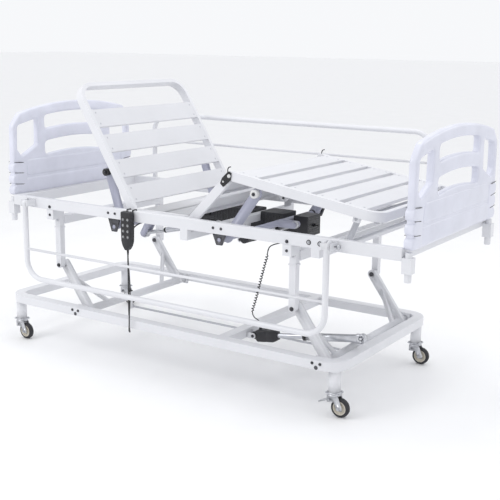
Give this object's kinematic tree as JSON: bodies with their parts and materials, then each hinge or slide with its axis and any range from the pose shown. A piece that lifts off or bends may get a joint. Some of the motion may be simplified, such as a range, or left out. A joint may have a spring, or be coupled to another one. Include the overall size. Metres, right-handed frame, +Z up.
{
  "type": "adjustable hospital bed",
  "caption": "Adjustable hospital bed with slatted back, thigh and calf sections, parallelogram lift, fold-down side rails, lift-out boards and swivel casters.",
  "frame": {"origin": "on the floor under the centre of the bed's bounding box", "axes": "+X from the head end to the foot end, +Y across to the side whose rail stands up, +Z up"},
  "size_m": [2.15, 1.024, 1.2768],
  "materials": {
    "powder_coat_white": "satin powder coat",
    "grey_lever_paint": "satin grey paint",
    "zinc_plate": "bright zinc plate",
    "dark_bolt_steel": "dark plated steel",
    "caster_tyre": "black rubber tread on a cream hub",
    "actuator_tube": "satin anodised tube",
    "black_housing": "fine moulded texture",
    "white_roller": "smooth nylon",
    "red_grip": "smooth dipped plastic",
    "keypad_grey": "smooth membrane",
    "board_plastic": "semi-gloss moulded plastic with a cool white tint",
    "lead_jacket": "flexible cable jacket"
  },
  "bodies": {
    "base": {"base_frame": "powder_coat_white", "base_legs": "powder_coat_white", "lift_bearings": "powder_coat_white", "lift_motor_bracket": "powder_coat_white", "caster_stems": "zinc_plate"},
    "fork_head_near": {"fork_head_near": "zinc_plate"},
    "wheel_head_near": {"wheel_head_near": "caster_tyre"},
    "fork_head_far": {"fork_head_far": "zinc_plate"},
    "wheel_head_far": {"wheel_head_far": "caster_tyre"},
    "fork_foot_near": {"fork_foot_near": "zinc_plate"},
    "wheel_foot_near": {"wheel_foot_near": "caster_tyre"},
    "fork_foot_far": {"fork_foot_far": "zinc_plate"},
    "wheel_foot_far": {"wheel_foot_far": "caster_tyre"},
    "brake_pedal": {"brake_pedal": "zinc_plate"},
    "head_crank": {"head_crank": "powder_coat_white"},
    "foot_crank": {"foot_crank": "powder_coat_white"},
    "tie_rod": {"tie_rod": "grey_lever_paint"},
    "lift_motor": {"lift_motor": "black_housing"},
    "lift_sleeve": {"lift_sleeve": "actuator_tube"},
    "upper_frame": {"lift_pivot_pins": "dark_bolt_steel", "bed_frame": "powder_coat_white", "head_stand": "powder_coat_white", "foot_stand": "powder_coat_white", "shaft_brackets": "dark_bolt_steel", "seat_section": "powder_coat_white", "section_hinge_pins": "dark_bolt_steel", "actuator_brackets": "powder_coat_white", "control_box": "black_housing", "board_sockets": "powder_coat_white", "siderail_brackets": "powder_coat_white", "handset": "black_housing", "handset_keys": "keypad_grey", "handset_hook": "black_housing", "handset_lead": "lead_jacket", "motor_lead": "lead_jacket", "motor_lead_coil": "lead_jacket"},
    "backrest": {"back_section": "powder_coat_white", "back_slats": "powder_coat_white"},
    "thigh": {"thigh_section": "powder_coat_white", "thigh_slats": "powder_coat_white", "knee_hinge_plates": "black_housing"},
    "calf": {"calf_section": "powder_coat_white", "calf_slats": "powder_coat_white"},
    "calf_stay": {"calf_stay": "grey_lever_paint", "stay_grip": "red_grip"},
    "back_shaft": {"back_shaft": "grey_lever_paint"},
    "back_rollers": {"back_rollers": "black_housing"},
    "knee_shaft": {"knee_shaft": "grey_lever_paint"},
    "knee_rollers": {"knee_rollers": "white_roller"},
    "back_actuator": {"back_actuator": "black_housing"},
    "back_actuator_rod": {"back_actuator_rod": "actuator_tube"},
    "knee_actuator": {"knee_actuator": "black_housing"},
    "knee_actuator_rod": {"knee_actuator_rod": "actuator_tube"},
    "headboard": {"headboard": "board_plastic"},
    "footboard": {"footboard": "board_plastic"},
    "siderail_near": {"siderail_near": "powder_coat_white"},
    "siderail_far": {"siderail_far": "powder_coat_white"},
    "latch_near": {"latch_near": "zinc_plate"},
    "latch_far": {"latch_far": "zinc_plate"}
  },
  "joints": [
    {"name": "bed_lift", "type": "hinge", "parent": "base", "child": "head_crank", "pos_m": [-0.615, 0, 0.205], "axis": [0, -1, 0], "range_deg": [0, 44], "deforming": ["motor_lead_coil"]},
    {"name": "frame_level", "type": "hinge", "parent": "head_crank", "child": "upper_frame", "pos_m": [-0.765, 0, 0.41], "axis": [0, -1, 0], "range_deg": [-44.5, 0.5]},
    {"name": "foot_crank_turn", "type": "hinge", "parent": "base", "child": "foot_crank", "pos_m": [0.69, 0, 0.205], "axis": [0, -1, 0], "range_deg": [-0.5, 44.5]},
    {"name": "tie_rod_turn", "type": "hinge", "parent": "head_crank", "child": "tie_rod", "pos_m": [-0.615, 0, 0.15], "axis": [0, -1, 0], "range_deg": [-44.5, 0.5]},
    {"name": "lift_motor_tilt", "type": "hinge", "parent": "base", "child": "lift_motor", "pos_m": [0.262, 0, 0.208], "axis": [0, -1, 0], "range_deg": [-0.2, 7.2]},
    {"name": "lift_sleeve_slide", "type": "slide", "parent": "lift_motor", "child": "lift_sleeve", "axis": [0.9886, 0, 0.1508], "range_m": [-0.071, 0.001]},
    {"name": "backrest_tilt", "type": "hinge", "parent": "upper_frame", "child": "backrest", "pos_m": [-0.295, 0, 0.715], "axis": [0, -1, 0], "range_deg": [-10, 58]},
    {"name": "back_shaft_turn", "type": "hinge", "parent": "upper_frame", "child": "back_shaft", "pos_m": [-0.38, 0, 0.648], "axis": [0, -1, 0], "range_deg": [-11.5, 65.2]},
    {"name": "back_roller_spin", "type": "hinge", "parent": "back_shaft", "child": "back_rollers", "pos_m": [-0.45901, 0, 0.88413], "axis": [0, -1, 0], "continuous": true},
    {"name": "back_actuator_tilt", "type": "hinge", "parent": "upper_frame", "child": "back_actuator", "pos_m": [-0.018, 0, 0.662], "axis": [0, -1, 0], "range_deg": [-0.9, 4.6]},
    {"name": "back_actuator_stroke", "type": "slide", "parent": "back_actuator", "child": "back_actuator_rod", "axis": [-0.9754, 0, -0.2203], "range_m": [-0.0935, 0.017]},
    {"name": "thigh_tilt", "type": "hinge", "parent": "upper_frame", "child": "thigh", "pos_m": [0.025, 0, 0.715], "axis": [0, -1, 0], "range_deg": [-46.4, 0]},
    {"name": "knee_bend", "type": "hinge", "parent": "thigh", "child": "calf", "pos_m": [0.22775, 0, 0.92791], "axis": [0, -1, 0], "range_deg": [-0.2, 55.3]},
    {"name": "calf_stay_swing", "type": "hinge", "parent": "calf", "child": "calf_stay", "pos_m": [0.80663, 0, 0.81002], "axis": [0, -1, 0], "range_deg": [-71, 0.5]},
    {"name": "knee_shaft_turn", "type": "hinge", "parent": "upper_frame", "child": "knee_shaft", "pos_m": [0.2, 0, 0.66], "axis": [0, -1, 0], "range_deg": [-52.2, 0.2]},
    {"name": "knee_roller_spin", "type": "hinge", "parent": "knee_shaft", "child": "knee_rollers", "pos_m": [0.3453, 0, 0.86221], "axis": [0, -1, 0], "continuous": true},
    {"name": "knee_actuator_tilt", "type": "hinge", "parent": "upper_frame", "child": "knee_actuator", "pos_m": [0, 0, 0.56], "axis": [0, -1, 0], "range_deg": [-11.9, 0.2]},
    {"name": "knee_actuator_stroke", "type": "slide", "parent": "knee_actuator", "child": "knee_actuator_rod", "axis": [0.9436, 0, 0.3311], "range_m": [-0.0455, 0.001]},
    {"name": "near_siderail_fold", "type": "hinge", "parent": "upper_frame", "child": "siderail_near", "pos_m": [0, -0.485, 0.713], "axis": [-1, 0, 0], "range_deg": [0, 180]},
    {"name": "far_siderail_fold", "type": "hinge", "parent": "upper_frame", "child": "siderail_far", "pos_m": [0, 0.485, 0.713], "axis": [-1, 0, 0], "range_deg": [0, 180]},
    {"name": "near_latch_push", "type": "slide", "parent": "upper_frame", "child": "latch_near", "axis": [-1, 0, 0], "range_m": [0, 0.008]},
    {"name": "far_latch_push", "type": "slide", "parent": "upper_frame", "child": "latch_far", "axis": [-1, 0, 0], "range_m": [0, 0.008]},
    {"name": "headboard_lift_out", "type": "slide", "parent": "upper_frame", "child": "headboard", "axis": [0, 0, 1], "range_m": [0, 0.12]},
    {"name": "footboard_lift_out", "type": "slide", "parent": "upper_frame", "child": "footboard", "axis": [0, 0, 1], "range_m": [0, 0.12]},
    {"name": "head_near_swivel", "type": "hinge", "parent": "base", "child": "fork_head_near", "pos_m": [-1.03, -0.395, 0.09], "axis": [0, 0, 1], "continuous": true},
    {"name": "head_near_roll", "type": "hinge", "parent": "fork_head_near", "child": "wheel_head_near", "pos_m": [-1, -0.395, 0.04], "axis": [0, 1, 0], "continuous": true},
    {"name": "head_far_swivel", "type": "hinge", "parent": "base", "child": "fork_head_far", "pos_m": [-1.03, 0.395, 0.09], "axis": [0, 0, 1], "continuous": true},
    {"name": "head_far_roll", "type": "hinge", "parent": "fork_head_far", "child": "wheel_head_far", "pos_m": [-1, 0.395, 0.04], "axis": [0, 1, 0], "continuous": true},
    {"name": "foot_near_swivel", "type": "hinge", "parent": "base", "child": "fork_foot_near", "pos_m": [0.75, -0.395, 0.09], "axis": [0, 0, 1], "continuous": true},
    {"name": "foot_near_roll", "type": "hinge", "parent": "fork_foot_near", "child": "wheel_foot_near", "pos_m": [0.78, -0.395, 0.04], "axis": [0, 1, 0], "continuous": true},
    {"name": "foot_far_swivel", "type": "hinge", "parent": "base", "child": "fork_foot_far", "pos_m": [0.75, 0.395, 0.09], "axis": [0, 0, 1], "continuous": true},
    {"name": "foot_far_roll", "type": "hinge", "parent": "fork_foot_far", "child": "wheel_foot_far", "pos_m": [0.78, 0.395, 0.04], "axis": [0, 1, 0], "continuous": true},
    {"name": "brake_press", "type": "hinge", "parent": "fork_foot_near", "child": "brake_pedal", "pos_m": [0.736, -0.395, 0.07], "axis": [0, -1, 0], "range_deg": [0, 14]}
  ],
  "couplings": [
    {"joint": "frame_level", "follows": "bed_lift", "ratio": -1},
    {"joint": "foot_crank_turn", "follows": "bed_lift", "ratio": 1},
    {"joint": "tie_rod_turn", "follows": "bed_lift", "ratio": -1},
    {"joint": "lift_motor_tilt", "follows": "bed_lift", "ratio": 0.1572},
    {"joint": "lift_sleeve_slide", "follows": "bed_lift", "m_per_rad": -0.09054},
    {"joint": "back_shaft_turn", "follows": "backrest_tilt", "ratio": 1.12},
    {"joint": "back_actuator_tilt", "follows": "backrest_tilt", "ratio": 0.0775},
    {"joint": "back_actuator_stroke", "follows": "backrest_tilt", "m_per_rad": -0.0914},
    {"joint": "knee_bend", "follows": "thigh_tilt", "ratio": -1.1853},
    {"joint": "calf_stay_swing", "follows": "thigh_tilt", "ratio": 1.5086},
    {"joint": "knee_shaft_turn", "follows": "thigh_tilt", "ratio": 1.12},
    {"joint": "knee_actuator_tilt", "follows": "thigh_tilt", "ratio": 0.2523},
    {"joint": "knee_actuator_stroke", "follows": "thigh_tilt", "m_per_rad": 0.0545}
  ]
}
